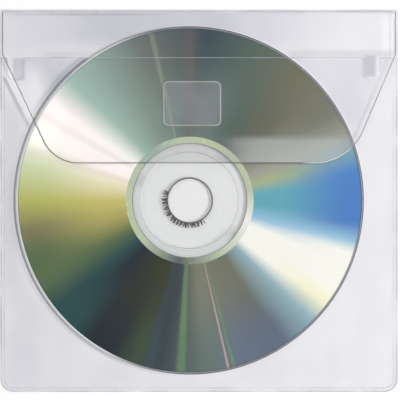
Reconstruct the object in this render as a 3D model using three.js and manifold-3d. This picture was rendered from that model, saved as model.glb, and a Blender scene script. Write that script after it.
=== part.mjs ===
// Clear film sleeve for a compact disc, closed and lying flat with its disc inside
//
// Millimetres, +Z up. The sleeve lies on Z = 0, its fold along +Y and its welded sides at
// -X, +X and -Y. The origin is on the ground under the middle of the sleeve.

import * as THREE from 'three';
import { LoftGeometry } from 'three/addons/geometries/LoftGeometry.js';
import { mergeVertices } from 'three/addons/utils/BufferGeometryUtils.js';
import Module from 'manifold-3d';

const wasm = await Module();
wasm.setup();

// Disc, a standard one with its playing side up
const discDiameter = 120;
const discThickness = 1.2;
const discHoleDiameter = 15;
const discEdgeChamfer = 0.15;

// Moulded rings round the hole, each width measured outwards from the last
const clampLandWidth = 5.5;
const mouldLineWidth = 0.4;
const middleLandWidth = 3.1;
const stackingRingWidth = 0.9;
const stackingRingHeight = 0.2;
const outerLandWidth = 2.0;
const stamperGrooveWidth = 0.9;
const grooveDepth = 0.12;

// Film of the sleeve, and its welded seam on three sides
const filmThickness = 0.2;
const seamWidth = 1.0;
const seamBeadWidth = 0.6;
const seamBeadHeight = 0.1;
const bottomCornerRadius = 4.3;

// Room from the disc's edge to each side of the sleeve
const marginLeft = 5.3;
const marginRight = 11.7;
const marginBottom = 6.0;
const marginFold = 5.8;

// Front sheet: a clearance round the disc's edge, its mouth below the fold and two notches
const discEdgeClearance = 0.3;
const mouthDepth = 16.5;
const notchWidth = 5.5;
const notchDepth = 7.6;
const notchRadius = 2.2;
const notchLipRadius = 0.6;
const notchInsetLeft = 2.4;
const notchInsetRight = 5.9;

// Flap, which is the back sheet folded over the mouth
const flapLength = 53;
const flapSideInset = 0.8;
const flapStraight = 15.6;
const flapTaperLeft = 17.7;
const flapTaperRight = 16.0;
const flapCornerRadiusLeft = 12.5;
const flapCornerRadiusRight = 17;

// Closure patch between the flap and the front sheet
const patchWidth = 20;
const patchHeight = 15.5;
const patchRadius = 2;
const patchThickness = 0.15;
const patchShift = -2.4;
const patchToFlapEdge = 12.8;

// Fineness of the curves
const discSegments = 96;
const cornerSegments = 16;
const drapeSteps = 5;
const arcSegments = 5;

// How far a cutting tool runs past what it cuts
const overrun = 3;

// Plan of the sleeve
const sleeveWidth = marginLeft + discDiameter + marginRight;
const sleeveHeight = marginBottom + discDiameter + marginFold;
const sideX = sleeveWidth / 2;
const foldY = sleeveHeight / 2;
const mouthY = foldY - mouthDepth;
const discCentre = new THREE.Vector2(
  marginLeft - sideX + discDiameter / 2,
  marginBottom - foldY + discDiameter / 2
);

// Levels through the sleeve, from the ground up
const discLevel = filmThickness;
const frontLevel = discLevel + discThickness + stackingRingHeight;
const patchLevel = frontLevel + filmThickness;
const flapLevel = patchLevel + patchThickness;
const topLevel = flapLevel + filmThickness;

const filmMaterial = new THREE.MeshStandardMaterial({
  color: 0xe3e7ec,
  roughness: 0.16,
  metalness: 0,
  transparent: true,
  opacity: 0.35,
});
const patchMaterial = new THREE.MeshStandardMaterial({
  color: 0xd9dae2,
  roughness: 0.35,
  metalness: 0,
  transparent: true,
  opacity: 0.45,
});
const discMaterial = new THREE.MeshStandardMaterial({
  color: 0x8fa09c,
  roughness: 0.22,
  metalness: 0.85,
});

// A closed geometry as a solid that can be joined and cut
function solidOf(geometry) {
  const bare = new THREE.BufferGeometry();
  bare.setAttribute('position', geometry.getAttribute('position'));
  bare.setIndex(geometry.getIndex());
  const merged = mergeVertices(bare);
  const index = merged.index.array;
  const triangles = [];
  for (let i = 0; i < index.length; i += 3) {
    const [a, b, c] = [index[i], index[i + 1], index[i + 2]];
    // Where two points of a ring fall together, a triangle has closed up to a line
    if (a !== b && b !== c && c !== a) triangles.push(a, b, c);
  }
  return new wasm.Manifold(
    new wasm.Mesh({
      numProp: 3,
      vertProperties: merged.attributes.position.array,
      triVerts: new Uint32Array(triangles),
    })
  );
}

function geometryOf(solid) {
  const { vertProperties, triVerts } = solid.getMesh();
  const geometry = new THREE.BufferGeometry();
  geometry.setAttribute('position', new THREE.BufferAttribute(vertProperties, 3));
  geometry.setIndex(new THREE.BufferAttribute(triVerts, 1));
  geometry.computeVertexNormals();
  return geometry;
}

function namedMesh(name, geometry, material) {
  const mesh = new THREE.Mesh(geometry, material);
  mesh.name = name;
  return mesh;
}

// The arc that rounds a corner between two straight edges
function cornerArc(before, corner, after, radius) {
  const back = before.clone().sub(corner).normalize();
  const on = after.clone().sub(corner).normalize();
  const halfAngle = Math.acos(back.dot(on)) / 2;
  const toCentre = back.clone().add(on).normalize();
  const centre = toCentre.multiplyScalar(radius / Math.sin(halfAngle)).add(corner);
  const angleAt = (edge) =>
    edge.clone().multiplyScalar(radius / Math.tan(halfAngle)).add(corner).sub(centre).angle();
  const clockwise = back.cross(on) > 0;
  const { x, y } = centre;
  return new THREE.EllipseCurve(x, y, radius, radius, angleAt(back), angleAt(on), clockwise);
}

// An outline through corners of the form [x, y, radius], where no radius means a sharp corner
function roundedOutline(corners) {
  const shape = new THREE.Shape();
  const points = corners.map(([x, y]) => new THREE.Vector2(x, y));
  corners.forEach(([x, y, radius = 0], i) => {
    const before = points[(i + corners.length - 1) % corners.length];
    const after = points[(i + 1) % corners.length];
    const arc = radius > 0 ? cornerArc(before, points[i], after, radius) : null;
    const entry = arc ? arc.getPoint(0) : points[i];
    if (i === 0) shape.moveTo(entry.x, entry.y);
    else shape.lineTo(entry.x, entry.y);
    if (arc) {
      shape.add(arc);
      shape.currentPoint.copy(arc.getPoint(1));
    }
  });
  return shape;
}

// A flat outline as a solid standing between two levels
function slab(outline, low, high) {
  const geometry = new THREE.ExtrudeGeometry(outline, {
    depth: high - low,
    bevelEnabled: false,
    curveSegments: arcSegments,
  });
  return geometry.translate(0, 0, low);
}

// Back sheet with its flap: one strip of film, folded up and over along +Y

// Section of the folded film, drawn with Y across and Z up
function foldedSection() {
  const outerRadius = topLevel / 2;
  const innerRadius = outerRadius - filmThickness;
  const bendY = foldY - outerRadius;
  const backEnd = -foldY - overrun;
  const flapEnd = foldY - flapLength - overrun;
  const section = new THREE.Shape();
  section.moveTo(backEnd, 0);
  section.lineTo(bendY, 0);
  section.absarc(bendY, outerRadius, outerRadius, -Math.PI / 2, Math.PI / 2, false);
  section.lineTo(flapEnd, topLevel);
  section.lineTo(flapEnd, flapLevel);
  section.lineTo(bendY, flapLevel);
  section.absarc(bendY, outerRadius, innerRadius, Math.PI / 2, -Math.PI / 2, true);
  section.lineTo(backEnd, filmThickness);
  return section;
}

function foldedFilm() {
  const halfLength = sideX + overrun;
  const geometry = new THREE.ExtrudeGeometry(foldedSection(), {
    depth: 2 * halfLength,
    bevelEnabled: false,
    curveSegments: arcSegments,
  });
  geometry.translate(0, 0, -halfLength);
  const alongX = new THREE.Matrix4().makeBasis(
    new THREE.Vector3(0, 1, 0),
    new THREE.Vector3(0, 0, 1),
    new THREE.Vector3(1, 0, 0)
  );
  return geometry.applyMatrix4(alongX);
}

function backOutline() {
  return roundedOutline([
    [-sideX, -foldY, bottomCornerRadius],
    [sideX, -foldY, bottomCornerRadius],
    [sideX, foldY + overrun],
    [-sideX, foldY + overrun],
  ]);
}

function flapOutline() {
  const flapX = sideX - flapSideInset;
  const shoulderY = foldY - flapStraight;
  const edgeY = foldY - flapLength;
  return roundedOutline([
    [flapX, foldY + overrun],
    [-flapX, foldY + overrun],
    [-flapX, shoulderY],
    [-flapX + flapTaperLeft, edgeY, flapCornerRadiusLeft],
    [flapX - flapTaperRight, edgeY, flapCornerRadiusRight],
    [flapX, shoulderY],
  ]);
}

// The back panel keeps its full width up to the middle of the fold, where the flap begins
function backSheetWithFlap() {
  const backBlank = solidOf(slab(backOutline(), -overrun, topLevel / 2));
  const flapBlank = solidOf(slab(flapOutline(), -overrun, topLevel + overrun));
  return solidOf(foldedFilm()).intersect(backBlank.add(flapBlank));
}

// Front sheet: drawn over the disc like a tent and welded down on three sides

// How far past the mouth the film would meet a fourth weld
const tentReach = 55;

// A closed line of points, each given by its direction from the middle of the sleeve. The
// four directions that face a side come twice, for the two ends of that side.
function ringOf(pointAt) {
  const ring = [];
  for (let quarter = 0; quarter < 4; quarter++) {
    for (let step = 0; step <= cornerSegments; step++) {
      const angle = ((quarter + step / cornerSegments) * Math.PI) / 2;
      ring.push(pointAt(quarter, Math.cos(angle), Math.sin(angle)));
    }
  }
  return ring;
}

function discRing(radius, level) {
  return ringOf((quarter, cos, sin) =>
    new THREE.Vector3(discCentre.x + radius * cos, discCentre.y + radius * sin, level)
  );
}

// The line at a distance inside the outline of the welded rim
function weldRing(inset, level) {
  const radius = Math.max(bottomCornerRadius - inset, 0);
  const cornerX = sideX - inset - radius;
  const topY = mouthY + tentReach - inset - radius;
  const bottomY = -foldY + inset + radius;
  return ringOf((quarter, cos, sin) => {
    const x = quarter === 0 || quarter === 3 ? cornerX : -cornerX;
    const y = quarter < 2 ? topY : bottomY;
    return new THREE.Vector3(x + radius * cos, y + radius * sin, level);
  });
}

// Rings of the free film between the disc's edge and the weld. Held flat at both ends, it
// comes down in a soft S.
function drapeRings(weldLevel, discSideLevel) {
  const top = discRing(discDiameter / 2 + discEdgeClearance, discSideLevel);
  const foot = weldRing(seamWidth, weldLevel);
  const rings = [];
  for (let step = 0; step <= drapeSteps; step++) {
    const share = step / drapeSteps;
    const level = THREE.MathUtils.lerp(
      discSideLevel,
      weldLevel,
      THREE.MathUtils.smoothstep(share, 0, 1)
    );
    rings.push(top.map((point, i) => point.clone().lerp(foot[i], share).setZ(level)));
  }
  return rings;
}

function tentedFilm() {
  const under = drapeRings(filmThickness, frontLevel);
  const over = drapeRings(2 * filmThickness, patchLevel).reverse();
  const beadInset = seamBeadWidth / 2;
  return new LoftGeometry([
    discRing(0, frontLevel),
    ...under,
    weldRing(0, filmThickness),
    weldRing(0, 2 * filmThickness),
    weldRing(beadInset, 2 * filmThickness + seamBeadHeight),
    weldRing(seamBeadWidth, 2 * filmThickness),
    ...over,
    discRing(0, patchLevel),
  ]);
}

// What the straight mouth and its two notches take off the film
function mouthCut() {
  const farX = sideX + overrun;
  const farY = mouthY + tentReach + overrun;
  const notchY = mouthY - notchDepth;
  const leftX = -sideX + notchInsetLeft;
  const rightX = sideX - notchInsetRight;
  const notch = (x) => [
    [x, mouthY, notchLipRadius],
    [x, notchY, notchRadius],
    [x + notchWidth, notchY, notchRadius],
    [x + notchWidth, mouthY, notchLipRadius],
  ];
  return roundedOutline([
    [-farX, mouthY],
    ...notch(leftX),
    ...notch(rightX - notchWidth),
    [farX, mouthY],
    [farX, farY],
    [-farX, farY],
  ]);
}

function frontSheet() {
  const cutter = solidOf(slab(mouthCut(), -overrun, topLevel + overrun));
  return solidOf(tentedFilm()).subtract(cutter);
}

// Closure patch: a rounded rectangle near the flap's free edge

function closurePatch() {
  const lowY = foldY - flapLength + patchToFlapEdge;
  const halfWidth = patchWidth / 2;
  const outline = roundedOutline([
    [patchShift - halfWidth, lowY, patchRadius],
    [patchShift + halfWidth, lowY, patchRadius],
    [patchShift + halfWidth, lowY + patchHeight, patchRadius],
    [patchShift - halfWidth, lowY + patchHeight, patchRadius],
  ]);
  return slab(outline, patchLevel, flapLevel);
}

// Disc: turned from one section, with the moulded rings of its hub on the upper side

function discSection() {
  const holeRadius = discHoleDiameter / 2;
  const edgeRadius = discDiameter / 2;
  const chamfer = discEdgeChamfer;
  const mouldLine = holeRadius + clampLandWidth;
  const ringInner = mouldLine + mouldLineWidth + middleLandWidth;
  const ringOuter = ringInner + stackingRingWidth;
  const ringSlope = stackingRingWidth / 4;
  const stamperGroove = ringOuter + outerLandWidth;
  const groove = (radius, width) => [
    [radius + width, discThickness],
    [radius + width / 2, discThickness - grooveDepth],
    [radius, discThickness],
  ];
  return [
    [holeRadius, chamfer],
    [holeRadius + chamfer, 0],
    [edgeRadius - chamfer, 0],
    [edgeRadius, chamfer],
    [edgeRadius, discThickness - chamfer],
    [edgeRadius - chamfer, discThickness],
    ...groove(stamperGroove, stamperGrooveWidth),
    [ringOuter, discThickness],
    [ringOuter - ringSlope, discThickness + stackingRingHeight],
    [ringInner + ringSlope, discThickness + stackingRingHeight],
    [ringInner, discThickness],
    ...groove(mouldLine, mouldLineWidth),
    [holeRadius + chamfer, discThickness],
    [holeRadius, discThickness - chamfer],
    [holeRadius, chamfer],
  ].map(([radius, height]) => new THREE.Vector2(radius, height));
}

function disc() {
  return new THREE.LatheGeometry(discSection(), discSegments).rotateX(Math.PI / 2);
}

const backMesh = namedMesh(
  'back_sheet_with_flap',
  geometryOf(backSheetWithFlap()),
  filmMaterial
);
const frontMesh = namedMesh('front_sheet', geometryOf(frontSheet()), filmMaterial);
const patchMesh = namedMesh('closure_patch', closurePatch(), patchMaterial);
const discMesh = namedMesh('disc', disc(), discMaterial);
discMesh.position.set(discCentre.x, discCentre.y, discLevel);

const sleeve = new THREE.Group();
sleeve.add(backMesh, frontMesh, patchMesh, discMesh);

export default sleeve;
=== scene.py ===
"""Looks of a clear film disc sleeve, closed and lying flat with its disc inside.

Lengths are millimetres while a piece is shaped, and metres once it is finished. +Z points up
through the sleeve, +Y towards its fold. The film is clear, so its haze, cut edges and drape carry
the look; much of the haze, and the tone of some edges, rims and walls, is painted shade, shadow
and highlight, and the disc's rainbow is painted reflection. A Pair is two ends or a place in
plan, and a Span a middle, a half size and a fade.
"""

import logging
import math
from collections.abc import Sequence
from dataclasses import dataclass
from enum import Enum
from typing import ClassVar, Protocol

import bmesh
import bpy
from mathutils import Matrix, Vector


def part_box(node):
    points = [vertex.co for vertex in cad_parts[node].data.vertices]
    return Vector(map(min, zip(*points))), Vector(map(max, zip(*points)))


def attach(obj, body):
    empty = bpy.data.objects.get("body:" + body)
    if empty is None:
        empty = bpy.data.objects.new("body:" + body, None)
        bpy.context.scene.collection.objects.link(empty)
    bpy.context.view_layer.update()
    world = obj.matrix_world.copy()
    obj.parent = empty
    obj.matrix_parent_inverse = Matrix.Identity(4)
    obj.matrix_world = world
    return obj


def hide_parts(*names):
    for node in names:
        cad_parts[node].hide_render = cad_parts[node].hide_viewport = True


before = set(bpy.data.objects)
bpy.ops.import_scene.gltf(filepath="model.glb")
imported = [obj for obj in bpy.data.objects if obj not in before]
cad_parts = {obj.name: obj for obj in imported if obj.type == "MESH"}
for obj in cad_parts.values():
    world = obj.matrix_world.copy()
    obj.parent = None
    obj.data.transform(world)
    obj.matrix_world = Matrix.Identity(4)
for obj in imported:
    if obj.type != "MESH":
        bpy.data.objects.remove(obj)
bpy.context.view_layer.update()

# A millimetre in metres, and how near in millimetres two points are one.
MM = 0.001
SAME_PLACE = 1e-4
# Degrees of bend past which an edge stays sharp: on no edge, and on small crisp pieces.
ALL_SMOOTH = 180.0
CRISP = 30.0
# Where most of a noise's values lie, and where its middle ones do.
NOISE_SPAN = (0.3, 0.7)
NOISE_CORE = (0.35, 0.65)
# Proportions of the film's mottle and of the hairline scratches.
STREAK_STRETCH = (1.0, 0.06, 1.0)
WAVE_SCALE = 30.0
HAIR_STRETCH = (1.0, 0.05, 1.0)
HAIR_TURN = (0.0, 0.0, 0.6)
SCRATCH_SPAN = (0.3, 0.48)
LOG = logging.getLogger("sleeve")

Material = bpy.types.Material
Node = bpy.types.Node
NodeTree = bpy.types.NodeTree
Socket = bpy.types.NodeSocket
Pair = tuple[float, float]
Span = tuple[float, float, float]


class Tint(Enum):
    """Named colours of the sleeve and its disc, as 0 to 255 display values."""

    WHITE = (255, 255, 255)
    CREAM = (242, 241, 232)
    ROSE_WHITE = (246, 234, 232)
    PALE_YELLOW = (238, 236, 200)
    SAND = (220, 214, 184)
    STRAW = (184, 176, 98)
    CITRINE = (164, 166, 86)
    OCHRE = (154, 148, 84)
    CITRON = (152, 166, 126)
    TAN_OLIVE = (116, 112, 76)
    OLIVE = (86, 86, 66)
    FERN = (78, 98, 62)
    MOSS = (48, 68, 44)
    BRONZE = (40, 48, 22)
    LEAF = (92, 128, 86)
    PALE_GREEN = (190, 200, 160)
    MINT = (150, 177, 166)
    SAGE = (122, 140, 128)
    GREY_GREEN = (84, 98, 92)
    FOREST = (58, 76, 66)
    DEEP_TEAL = (38, 56, 60)
    TEAL = (24, 64, 64)
    DUSTY_TEAL = (116, 154, 166)
    BRIGHT_TEAL = (92, 160, 174)
    PALE_TEAL = (140, 170, 178)
    SKY = (148, 190, 214)
    BLUE = (72, 122, 186)
    ROYAL = (62, 100, 176)
    SLATE_BLUE = (84, 96, 112)
    SLATE = (42, 54, 60)
    NAVY = (12, 28, 34)
    UMBER = (34, 38, 24)
    ASH = (104, 106, 90)
    STONE = (96, 104, 98)
    WARM_GREY = (146, 146, 134)
    ROSE = (172, 146, 142)
    RUST = (112, 84, 80)
    LILAC_GREY = (208, 206, 222)
    FILM_GREY = (198, 197, 212)
    FILM_SHADE = (130, 131, 160)
    # Painted shade and shadow: the disc's shadow on the film, the fold, the mouth, rims, walls and
    # edges.
    PAINTED_SHADE = (96, 96, 114)
    # Painted highlights and glare on edges, rims and the flap; also the clear hub's tint and
    # scratches.
    EDGE_WHITE = (236, 242, 240)
    # Dark cut edges and print, and painted shade on the hub's groove walls.
    EDGE_DARK = (70, 72, 80)
    BAND_GREEN = (186, 198, 170)
    RING_GREEN = (84, 92, 84)
    SILVER = (204, 206, 208)
    INK = (34, 34, 38)
    FLOOR = (232, 232, 232)
    FLOOR_PALE = (238, 238, 239)

    @property
    def linear(self) -> tuple[float, float, float, float]:
        """This colour as linear light, with full alpha."""
        shares = [level / 255 for level in self.value]
        light = [s / 12.92 if s <= 0.04045 else ((s + 0.055) / 1.055) ** 2.4 for s in shares]
        return (*light, 1.0)


def turn_share(degrees: float) -> float:
    """Place of an angle on the polar group's 0 to 1 scale."""
    return degrees / 360 + 0.5


class Tree:
    """A node tree with short calls that add and join its nodes."""

    def __init__(self, tree: NodeTree) -> None:
        """Keeps the tree that the nodes go into."""
        self.tree = tree

    def add(self, kind: str, inputs: dict[str | int, object] | None = None, **settings) -> Node:
        """Adds a node.

        Args:
            kind: The node's type name.
            inputs: Values or sockets for its inputs, by name or number.
            **settings: The node's own properties.

        Returns:
            The new node.
        """
        node = self.tree.nodes.new(kind)
        for name, value in settings.items():
            setattr(node, name, value)
        self.fill(node, inputs or {})
        return node

    def fill(self, node: Node, inputs: dict[str | int, object]) -> None:
        """Feeds several inputs of a node, by name or number."""
        for name, value in inputs.items():
            self.feed(node.inputs[name], value)

    def feed(self, socket: Socket, value: object) -> None:
        """Joins a socket to another one, or gives it a constant.

        Args:
            socket: The input to fill.
            value: A socket, a number, a colour or a vector.
        """
        if isinstance(value, Socket):
            self.tree.links.new(value, socket)
        else:
            socket.default_value = value

    def math(self, operation: str, first: object, second: object = 0.5, third: object = 0.5) -> Socket:
        """Adds a Math node and returns its result."""
        inputs = {0: first, 1: second, 2: third}
        return self.add("ShaderNodeMath", inputs, operation=operation).outputs[0]

    def ranged(self, value: object, low: float, high: float, to_low: float, to_high: float) -> Socket:
        """Maps a value smoothly from one range to another.

        Args:
            value: The value to map.
            low: Start of its range.
            high: End of its range.
            to_low: Result at the start.
            to_high: Result at the end.

        Returns:
            The mapped value's socket.
        """
        ends = {"From Min": low, "From Max": high, "To Min": to_low, "To Max": to_high}
        ends["Value"] = value
        return self.add("ShaderNodeMapRange", ends, interpolation_type="SMOOTHSTEP").outputs[0]

    def spread(self, noise: object, low: float, high: float, span: Pair = NOISE_SPAN) -> Socket:
        """Spreads a noise over a new range, from the span that most of it lies in."""
        return self.ranged(noise, *span, low, high)

    def mix(self, share: object, first: object, second: object, blend: str = "MIX") -> Socket:
        """Mixes two colours and returns the result."""
        inputs = {0: share, 6: first, 7: second}
        return self.add("ShaderNodeMix", inputs, data_type="RGBA", blend_type=blend).outputs[2]

    def band(self, value: object, centre: float, half: float, soft: float) -> Socket:
        """A mask that is 1 inside a band of a value and fades out beside it.

        Args:
            value: The value that the band lies in.
            centre: Middle of the band.
            half: Half of its full width.
            soft: Width of the fade on each side.

        Returns:
            The mask's socket.
        """
        away = self.math("ABSOLUTE", self.math("SUBTRACT", value, centre))
        return self.ranged(away, half, half + soft, 1.0, 0.0)

    def sector(self, angle: object, degrees: float, half: float, soft: float) -> Socket:
        """A mask that is 1 inside a sector of the disc and fades out beside it.

        Args:
            angle: The polar group's angle.
            degrees: Middle of the sector.
            half: Half of its opening, in degrees.
            soft: Width of the fade on each side, in degrees.

        Returns:
            The mask's socket.
        """
        turned = self.math("SUBTRACT", angle, turn_share(degrees))
        away = self.math("ABSOLUTE", self.math("WRAP", turned, 0.5, -0.5))
        return self.ranged(away, half / 360, (half + soft) / 360, 1.0, 0.0)

    def ramp(self, value: object, stops: Sequence[tuple[float, tuple[float, ...]]]) -> Socket:
        """Adds a colour ramp.

        Args:
            value: What the ramp reads.
            stops: Place and linear colour of each stop.

        Returns:
            The ramp's colour.
        """
        node = self.add("ShaderNodeValToRGB", {0: value})
        elements = node.color_ramp.elements
        while len(elements) < len(stops):
            elements.new(0.5)
        for element, (place, colour) in zip(elements, sorted(stops)):
            element.position = place
            element.color = colour
        return node.outputs["Color"]

    def fans(self, angle: object, tints: Sequence[tuple[float, Tint]]) -> Socket:
        """Adds a ramp of tints round the disc, each at its angle in degrees."""
        return self.ramp(angle, [(turn_share(degrees), tint.linear) for degrees, tint in tints])

    def object_place(self) -> Socket:
        """Place on the piece, by Object coordinates."""
        return self.add("ShaderNodeTexCoord").outputs["Object"]

    def grazing(self, ior: float, facing: float, share: float) -> Socket:
        """Gloss of a surface seen at a low angle, past what it has face on.

        Args:
            ior: The surface's index of refraction.
            facing: Its gloss face on.
            share: How much of the rest counts.

        Returns:
            The gloss's socket.
        """
        gloss = self.add("ShaderNodeFresnel", {"IOR": ior}).outputs[0]
        past = self.math("MULTIPLY", self.math("SUBTRACT", gloss, facing), share)
        return self.math("MAXIMUM", past, 0.0)

    def seen_straight(self) -> Socket:
        """A mask that is 1 for the camera's rays and those by way of gloss or glass."""
        rays = self.add("ShaderNodeLightPath").outputs
        seen = self.math("MAXIMUM", rays["Is Camera Ray"], rays["Is Glossy Ray"])
        return self.math("MAXIMUM", seen, rays["Is Transmission Ray"])


def new_group(
    name: str, inputs: Sequence[str], outputs: Sequence[str], points: Sequence[str] = ()
) -> tuple[Tree, Node, Node]:
    """Starts a shader node group.

    Args:
        name: The group's name.
        inputs: Names of its number inputs.
        outputs: Names of its number outputs.
        points: Names of its vector inputs.

    Returns:
        The group's tree, its input node and its output node.
    """
    group = bpy.data.node_groups.new(name, "ShaderNodeTree")
    rows = ((points, "INPUT", "Vector"), (inputs, "INPUT", "Float"), (outputs, "OUTPUT", "Float"))
    for sockets, side, kind in rows:
        for socket in sockets:
            group.interface.new_socket(name=socket, in_out=side, socket_type=f"NodeSocket{kind}")
    tree = Tree(group)
    return tree, tree.add("NodeGroupInput"), tree.add("NodeGroupOutput")


def build_mottle_group() -> NodeTree:
    """Soft clouds, drawn streaks and slow waves of rolled film.

    Returns:
        The node group, with outputs Cloud, Streak and Wave.
    """
    scales, results = ("Cloud Scale", "Streak Scale"), ("Cloud", "Streak", "Wave")
    tree, given, result = new_group("film_mottle", scales, results)
    place = tree.object_place()
    drawn = tree.add("ShaderNodeMapping", {"Vector": place, "Scale": STREAK_STRETCH}).outputs[0]
    for name, point, scale, detail in (
        ("Cloud", place, given.outputs["Cloud Scale"], 3.0),
        ("Streak", drawn, given.outputs["Streak Scale"], 2.0),
        ("Wave", place, WAVE_SCALE, 1.0),
    ):
        noise = tree.add("ShaderNodeTexNoise", {"Vector": point, "Scale": scale, "Detail": detail})
        tree.feed(result.inputs[name], noise.outputs["Fac"])
    return tree.tree


def build_polar_group() -> NodeTree:
    """Angle and radius of a point about the disc's axis.

    Returns:
        The node group, with outputs Angle, which is 0 to 1 for a half turn each way from +X, and
        Radius in millimetres.
    """
    tree, given, result = new_group("disc_polar", (), ("Angle", "Radius"), ("Point",))
    point = given.outputs["Point"]
    turn = tree.add("ShaderNodeTexGradient", {"Vector": point}, gradient_type="RADIAL")
    tree.feed(result.inputs["Angle"], turn.outputs["Fac"])
    apart = tree.add("ShaderNodeSeparateXYZ", {0: point})
    flat = tree.add("ShaderNodeCombineXYZ", {"X": apart.outputs["X"], "Y": apart.outputs["Y"]})
    length = tree.add("ShaderNodeVectorMath", {0: flat.outputs[0]}, operation="LENGTH")
    tree.feed(result.inputs["Radius"], tree.math("MULTIPLY", length.outputs["Value"], 1 / MM))
    return tree.tree


def build_scratch_group() -> NodeTree:
    """Fine hairline scratches and specks in a clear surface.

    Returns:
        The node group, with the output Scratch.
    """
    tree, given, result = new_group("fine_scratches", ("Scale",), ("Scratch",))
    place, scale = tree.object_place(), given.outputs["Scale"]
    lie = {"Vector": place, "Rotation": HAIR_TURN, "Scale": HAIR_STRETCH}
    turned = tree.add("ShaderNodeMapping", lie).outputs[0]
    hair = tree.add("ShaderNodeTexNoise", {"Vector": turned, "Scale": scale, "Detail": 4.0})
    speck = tree.add("ShaderNodeTexNoise", {"Vector": place, "Scale": scale, "Detail": 1.0})
    both = tree.math("MULTIPLY", hair.outputs["Fac"], speck.outputs["Fac"])
    tree.feed(result.inputs["Scratch"], tree.spread(both, 0.0, 1.0, SCRATCH_SPAN))
    return tree.tree


@dataclass(frozen=True)
class Groups:
    """The node groups that the finishes share, and where the disc's axis stands."""

    mottle: NodeTree
    polar: NodeTree
    scratch: NodeTree
    axis: Pair

    def place_mottle(self, tree: Tree, scales: Pair) -> Node:
        """Places the film mottle group with its cloud and streak scales."""
        inputs = {"Cloud Scale": scales[0], "Streak Scale": scales[1]}
        return tree.add("ShaderNodeGroup", inputs, node_tree=self.mottle)

    def place_polar(self, tree: Tree) -> Node:
        """Places the polar group, centred on the disc."""
        shift = (-self.axis[0] * MM, -self.axis[1] * MM, 0.0)
        lie = {"Vector": tree.object_place(), "Location": shift}
        centred = tree.add("ShaderNodeMapping", lie).outputs[0]
        return tree.add("ShaderNodeGroup", {"Point": centred}, node_tree=self.polar)

    def place_scratch(self, tree: Tree, scale: float) -> Socket:
        """Places the scratch group with its scale, and returns its mask."""
        return tree.add("ShaderNodeGroup", {"Scale": scale}, node_tree=self.scratch).outputs[0]


class Finish(Protocol):
    """Anything that makes a material from the shared node groups."""

    def build(self, groups: Groups) -> Material:
        """Makes the material."""


def new_material(name: str) -> tuple[Material, Tree, Node]:
    """Starts a material.

    Args:
        name: The material's name.

    Returns:
        The material, its tree and its shader.
    """
    material = bpy.data.materials.new(name)
    material.use_nodes = True
    tree = Tree(material.node_tree)
    return material, tree, material.node_tree.nodes["Principled BSDF"]


class Layer(Enum):
    """Which layer of the back film a field of haze lies in."""

    ANY = 0
    BACK = 1
    FLAP = 2


@dataclass(frozen=True)
class PaintedLightAndHazeField:
    """A soft-edged field of the film, milkier, darker or clearer, which may lean by some degrees.

    Below the height of split it lies in the back, and above it in the flap. Most fields paint shade,
    shadows, glare and reflections onto the film.
    """

    tint: Tint
    strength: float
    across: Span
    along: Span
    layer: Layer = Layer.ANY
    lean: float = 0.0
    split: float = 1.2

    def mask(self, tree: Tree, place: Node) -> Socket:
        """Adds the field's mask.

        Args:
            tree: The material's tree.
            place: A node that gives X, Y and Z.

        Returns:
            The mask's socket.
        """
        off_x = tree.math("SUBTRACT", place.outputs["X"], self.across[0] * MM)
        off_y = tree.math("SUBTRACT", place.outputs["Y"], self.along[0] * MM)
        cosine, sine = math.cos(math.radians(self.lean)), math.sin(math.radians(self.lean))
        turned_x = tree.math("MULTIPLY_ADD", off_y, sine, tree.math("MULTIPLY", off_x, cosine))
        turned_y = tree.math("MULTIPLY_ADD", off_x, -sine, tree.math("MULTIPLY", off_y, cosine))
        across = tree.band(turned_x, 0.0, *(length * MM for length in self.across[1:]))
        along = tree.band(turned_y, 0.0, *(length * MM for length in self.along[1:]))
        both = tree.math("MULTIPLY", across, along)
        if self.layer is Layer.ANY:
            return both
        side = "GREATER_THAN" if self.layer is Layer.FLAP else "LESS_THAN"
        return tree.math("MULTIPLY", both, tree.math(side, place.outputs["Z"], self.split * MM))


@dataclass(frozen=True)
class RingField:
    """A soft-edged arc of the film about the disc's axis, by radius and by angle in degrees."""

    tint: Tint
    strength: float
    radial: Span
    turn: Span

    def mask(self, tree: Tree, polar: Node) -> Socket:
        """Adds the arc's mask.

        Args:
            tree: The material's tree.
            polar: A node that gives Angle and Radius.

        Returns:
            The mask's socket.
        """
        ring = tree.band(polar.outputs["Radius"], *self.radial)
        return tree.math("MULTIPLY", ring, tree.sector(polar.outputs["Angle"], *self.turn))


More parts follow.
